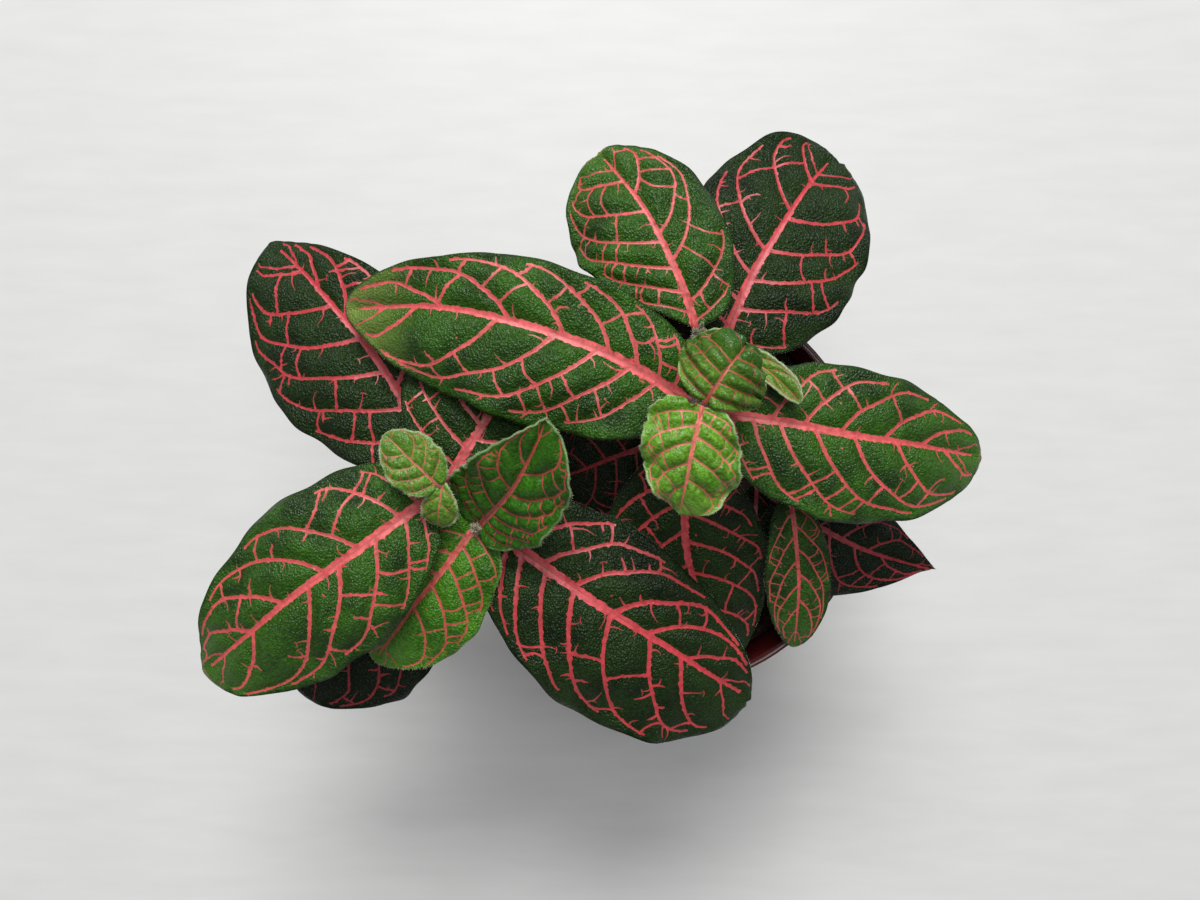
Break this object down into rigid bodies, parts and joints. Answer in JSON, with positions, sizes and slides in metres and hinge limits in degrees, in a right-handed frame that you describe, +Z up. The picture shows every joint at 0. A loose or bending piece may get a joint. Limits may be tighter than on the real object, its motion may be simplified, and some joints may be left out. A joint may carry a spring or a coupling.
{
  "type": "potted nerve plant",
  "caption": "Potted nerve plant: broad oval leaves with a net of coral-pink veins, in opposite pairs on two main stems that spread past a round tapered plastic pot.",
  "frame": {"origin": "centre of the pot's flat underside", "axes": "+Z up along the pot's axis, +X along the plant's longest spread"},
  "size_m": [0.1604, 0.1273, 0.1292],
  "materials": {
    "pot": "glossy moulded plastic",
    "soil": "damp potting mix",
    "stem_right": "downy green stem",
    "stem_left": "downy green stem",
    "shoot_back": "downy green stem",
    "shoot_front": "downy green stem",
    "shoot_left": "downy green stem",
    "bud_back": "downy bud",
    "bud_left": "downy bud",
    "leaf_right_tip_low": "living leaf with coloured veins",
    "leaf_right_tip_dome": "living leaf with coloured veins",
    "leaf_right_big_left": "living leaf with coloured veins",
    "leaf_right_big_right": "living leaf with coloured veins",
    "leaf_back_right": "living leaf with coloured veins",
    "leaf_front_mid": "living leaf with coloured veins",
    "leaf_right_low_dark": "living leaf with coloured veins",
    "leaf_centre_dark": "living leaf with coloured veins",
    "leaf_side_bud_left": "living leaf with coloured veins",
    "leaf_side_bud_right": "living leaf with coloured veins",
    "leaf_front_narrow": "living leaf with coloured veins",
    "leaf_front_sliver": "living leaf with coloured veins",
    "leaf_left_tip_big": "living leaf with coloured veins",
    "leaf_left_tip_small": "living leaf with coloured veins",
    "leaf_left_big_low": "living leaf with coloured veins",
    "leaf_left_under_big": "living leaf with coloured veins",
    "leaf_left_back_dark": "living leaf with coloured veins",
    "leaf_front_big_dark": "living leaf with coloured veins",
    "leaf_left_low_dark": "living leaf with coloured veins",
    "leaf_left_fold": "living leaf with coloured veins",
    "leaf_left_bright_low": "living leaf with coloured veins"
  },
  "bodies": {
    "root": {"pot": "pot", "soil": "soil", "stem_right": "stem_right", "stem_left": "stem_left", "shoot_back": "shoot_back", "shoot_front": "shoot_front", "shoot_left": "shoot_left", "bud_back": "bud_back", "bud_left": "bud_left", "leaf_right_tip_low": "leaf_right_tip_low", "leaf_right_tip_dome": "leaf_right_tip_dome", "leaf_right_big_left": "leaf_right_big_left", "leaf_right_big_right": "leaf_right_big_right", "leaf_back_right": "leaf_back_right", "leaf_front_mid": "leaf_front_mid", "leaf_right_low_dark": "leaf_right_low_dark", "leaf_centre_dark": "leaf_centre_dark", "leaf_side_bud_left": "leaf_side_bud_left", "leaf_side_bud_right": "leaf_side_bud_right", "leaf_front_narrow": "leaf_front_narrow", "leaf_front_sliver": "leaf_front_sliver", "leaf_left_tip_big": "leaf_left_tip_big", "leaf_left_tip_small": "leaf_left_tip_small", "leaf_left_big_low": "leaf_left_big_low", "leaf_left_under_big": "leaf_left_under_big", "leaf_left_back_dark": "leaf_left_back_dark", "leaf_front_big_dark": "leaf_front_big_dark", "leaf_left_low_dark": "leaf_left_low_dark", "leaf_left_fold": "leaf_left_fold", "leaf_left_bright_low": "leaf_left_bright_low"}
  },
  "joints": []
}
